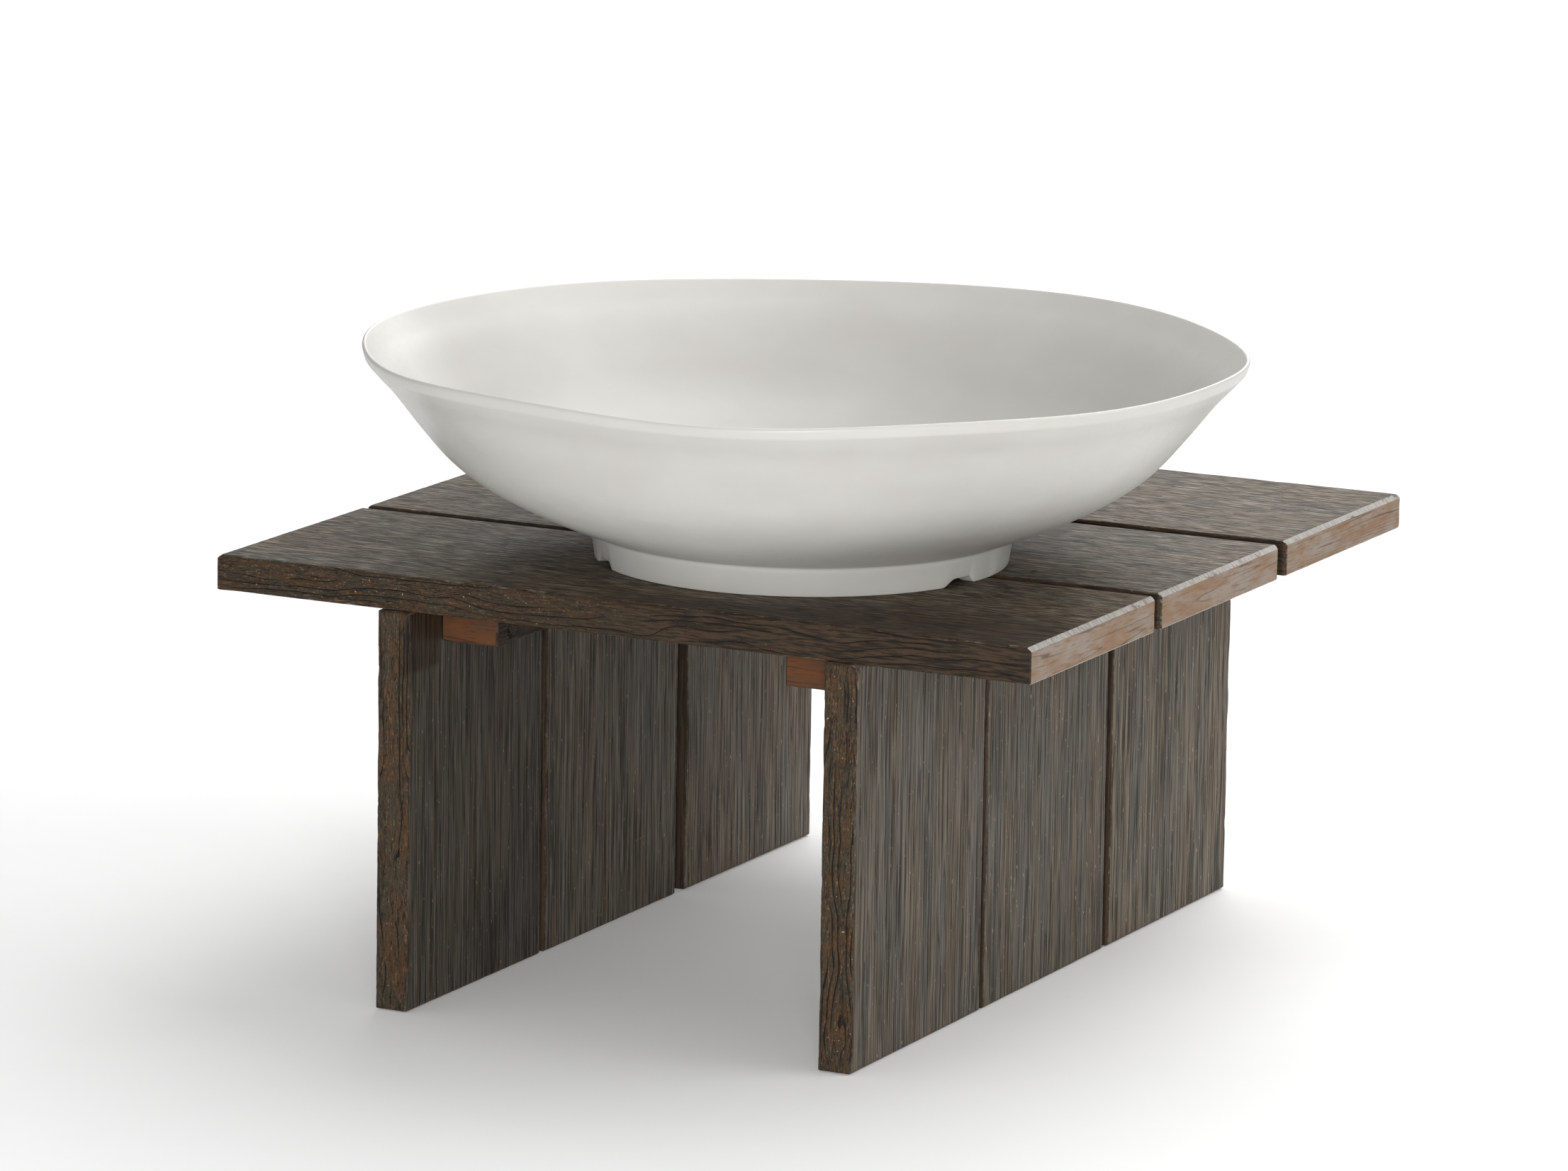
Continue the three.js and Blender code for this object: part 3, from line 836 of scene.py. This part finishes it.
# The rim's waves, upwards and outwards: how many go round, their size in mm, and the first crest in degrees
RISE_WAVES = [(1, 0.4, -128), (2, 0.4, 18), (3, 0.4, -37), (4, 0.9, -16), (6, 0.6, 13), (7, 0.4, 2)]
LEAN_WAVES = [(2, 0.7, -8), (3, 0.3, 48), (5, 0.3, -35), (7, 0.5, -18)]
WAVE_FADE_HEIGHT, WAVE_FADE_POWER = 20, 3  # the waves start at this height and grow by this power
NOTCH_ANGLES = [345, 105, 225]
NOTCH_HEIGHT = 3.8
NOTCH_SLOPES = (-12.5, -3, 7, 12.5)  # where it starts to rise, is high, starts to fall and ends, in mm
NOTCH_TOP = 13.4  # the ring is squeezed upwards below this height
NOTCH_SPAN, NOTCH_STEP = 8, 0.4  # degrees
TURN_STEPS = 264
WALL_STEPS = 58


def wall_curve(steps):
    """Points and directions of the smooth curve through WALL_POINTS."""
    known = np.array(WALL_POINTS)
    last = len(known) - 1
    place = np.linspace(0, last, steps + 1)
    cell = np.minimum(place.astype(int), last)
    t = (place - cell)[:, None]
    before, start = known[np.maximum(cell - 1, 0)], known[cell]
    end, after = known[np.minimum(cell + 1, last)], known[np.minimum(cell + 2, last)]
    go, arrive = (end - before) / 2, (after - start) / 2
    a, b = 2 * start - 2 * end + go + arrive, -3 * start + 3 * end - 2 * go - arrive
    points = a * t**3 + b * t**2 + go * t + start
    slope = 3 * a * t**2 + 2 * b * t + go
    slope[-1] = known[last] - known[last - 1]
    return points, slope / np.linalg.norm(slope, axis=1)[:, None]


def bowl_outline():
    """Radii and heights from inside the foot ring up the outer wall, over the rim and down the inside."""
    outer, direction = wall_curve(WALL_STEPS)
    inner = outer + BOWL_WALL * np.stack([-direction[:, 1], direction[:, 0]], axis=1)
    return np.concatenate([FOOT_POINTS, outer, RIM_POINTS, inner[::-1], FLOOR_POINTS])


def turn_angles():
    """Angles round the bowl, closer together across the notches."""
    angles = set(np.round(np.arange(TURN_STEPS) * 360 / TURN_STEPS, 4))
    extras = np.arange(-NOTCH_SPAN, NOTCH_SPAN + 0.01, NOTCH_STEP)
    for notch in NOTCH_ANGLES:
        angles |= {round((notch + extra) % 360, 4) for extra in extras}
    return np.radians(sorted(angles))


def notch_lift(angles):
    """How high each angle's stretch of foot ring is cut away from below."""
    lift = np.zeros(len(angles))
    for notch in NOTCH_ANGLES:
        off = (angles - math.radians(notch) + np.pi) % (2 * np.pi) - np.pi
        along_ring = off * FOOT_RADIUS
        start, high, fall, end = NOTCH_SLOPES
        lift = np.maximum(lift, ease(along_ring, start, high) * ease(along_ring, end, fall))
    return NOTCH_HEIGHT * lift


def wave_sum(waves, angles):
    return sum(size * np.cos(count * (angles - math.radians(crest))) for count, size, crest in waves)


def melamine():
    """Satin off-white moulded plastic: faint clouding, dust specks, and an orange-peel skin."""
    g = Graph("bowl_melamine")
    cloud = g.noise(g.place((60, 60, 40)), 3, 0.6)
    specks = g.noise(g.place((1.6, 1.6, 1.6), 2), 1, 0.4)
    peel = g.noise(g.place((2.4, 2.4, 2.4), 5), 2, 0.5)
    ripple = g.noise(g.place((30, 30, 12), 8), 2, 0.5)
    scuffs = g.noise(g.place((14, 3, 2), 11), 3, 0.7)
    base = g.mix(g.step(cloud, 0.3, 0.7), srgb(195, 193, 187), srgb(199, 198, 193))
    base = g.mix(g.times(g.step(specks, 0.76, 0.82), 0.25), base, srgb(170, 162, 148))
    roughness = g.spread(g.step(scuffs, 0.4, 0.75), 0.33, 0.46)
    normal = g.bump(ripple, 0.25, g.bump(peel, 0.015))
    return g.finish(base, roughness, normal, Specular_IOR_Level=0.5)


def make_bowl():
    outline, angles = bowl_outline(), turn_angles()
    lift, rise, lean = notch_lift(angles), wave_sum(RISE_WAVES, angles), wave_sum(LEAN_WAVES, angles)
    rings = []
    for radius, height in outline:
        risen = max(0, (height - WAVE_FADE_HEIGHT) / (RIM_HEIGHT - WAVE_FADE_HEIGHT))
        share = risen**WAVE_FADE_POWER
        reach = radius + share * lean
        in_foot = height < NOTCH_TOP and radius > FOOT_INSIDE
        lifted = height + lift * (1 - height / NOTCH_TOP) if in_foot else height
        rings.append(ring(reach, angles, lifted + share * rise))
    points, quads, caps = stack_rings(rings, (0, 0, FOOT_RECESS), (0, 0, BOWL_FLOOR))
    centre = RISER_CENTRE + (*BOWL_PLACE, TOP_HIGH[2] + BOWL_LIFT)
    piece = mesh_piece("bowl_shell", points + centre, [quads, caps], [melamine()])
    place_piece(piece, "bowl", "bowl", "bowl")


# ---- Floor, light and camera ----

FLOOR_REACH = 16000
FLOOR_DROP = 0.5  # below the leg boards' feet
FLOOR_GLOW = {"Emission_Color": (1, 1, 1, 1), "Emission_Strength": 0.12}


def make_floor():
    g = Graph("studio_floor")
    paper = g.noise(g.place((40, 40, 40)), 3, 0.5)
    base = g.mix(paper, (0.8, 0.8, 0.795, 1), (0.82, 0.82, 0.815, 1))
    material = g.finish(base, 0.9, Specular_IOR_Level=0.1, **FLOOR_GLOW)
    signs = ((-1, -1), (1, -1), (1, 1), (-1, 1))
    corners = [(x * FLOOR_REACH, y * FLOOR_REACH, -FLOOR_DROP) for x, y in signs]
    floor = mesh_piece("studio_floor", corners, [[(0, 1, 2, 3)]], [material])


OBJECT_MIDDLE = (0, 0, 0.22)
WORLD_STRENGTH = 0.46


def area_light(name, place, size, power, aim=OBJECT_MIDDLE):
    """A soft square light in metres and watts."""
    data = bpy.data.lights.new(name, "AREA")
    data.shape = "SQUARE"
    data.size = size
    data.energy = power
    light = bpy.data.objects.new(name, data)
    light.location = place
    light.rotation_euler = (Vector(aim) - Vector(place)).to_track_quat("-Z", "Y").to_euler()
    bpy.context.scene.collection.objects.link(light)


def make_light():
    world = bpy.data.worlds.new("studio")
    world.use_nodes = True
    background = world.node_tree.nodes["Background"]
    background.inputs["Color"].default_value = (1, 1, 1, 1)
    background.inputs["Strength"].default_value = WORLD_STRENGTH
    bpy.context.scene.world = world
    area_light("key", (2.3, 0.7, 1.7), 1.8, 22)
    area_light("top", (0.4, 0.9, 2.4), 1.8, 30)
    area_light("back", (-0.6, 2.4, 1.6), 1.8, 16)
    area_light("front", (1.1, -2.5, 0.6), 0.8, 36)
    area_light("far_floor", (-1.5, 5, 2.6), 3, 120, (-1.5, 5, 0))
    bpy.context.scene.view_settings.view_transform = "Standard"


CAMERA_FROM_RISER = (1894.8, -3866.9, 1059.6)  # mm, from the middle of the riser's footprint
CAMERA_AZIMUTH, CAMERA_ELEVATION, CAMERA_ROLL = 26.369, 11.381, 0.897  # degrees
CAMERA_LENS, SENSOR_WIDTH = 192.95, 36  # mm


def make_camera():
    data = bpy.data.cameras.new("photo_view")
    data.lens = CAMERA_LENS
    data.sensor_width = SENSOR_WIDTH
    camera = bpy.data.objects.new("photo_view", data)
    azimuth, elevation = math.radians(CAMERA_AZIMUTH), math.radians(CAMERA_ELEVATION)
    ahead = Vector((
        -math.sin(azimuth) * math.cos(elevation),
        math.cos(azimuth) * math.cos(elevation),
        -math.sin(elevation),
    ))
    place = Matrix.Translation(Vector(RISER_CENTRE + CAMERA_FROM_RISER) * MM)
    aim = ahead.to_track_quat("-Z", "Y").to_matrix().to_4x4()
    camera.matrix_world = place @ aim @ Matrix.Rotation(math.radians(CAMERA_ROLL), 4, "Z")
    bpy.context.scene.collection.objects.link(camera)
    bpy.context.scene.camera = camera


make_camera()
make_top()
make_leg("left", 11)
make_leg("right", 17)
make_screws()
make_batten("left", -1, 23)
make_batten("right", 1, 27)
make_bowl()
make_floor()
make_light()
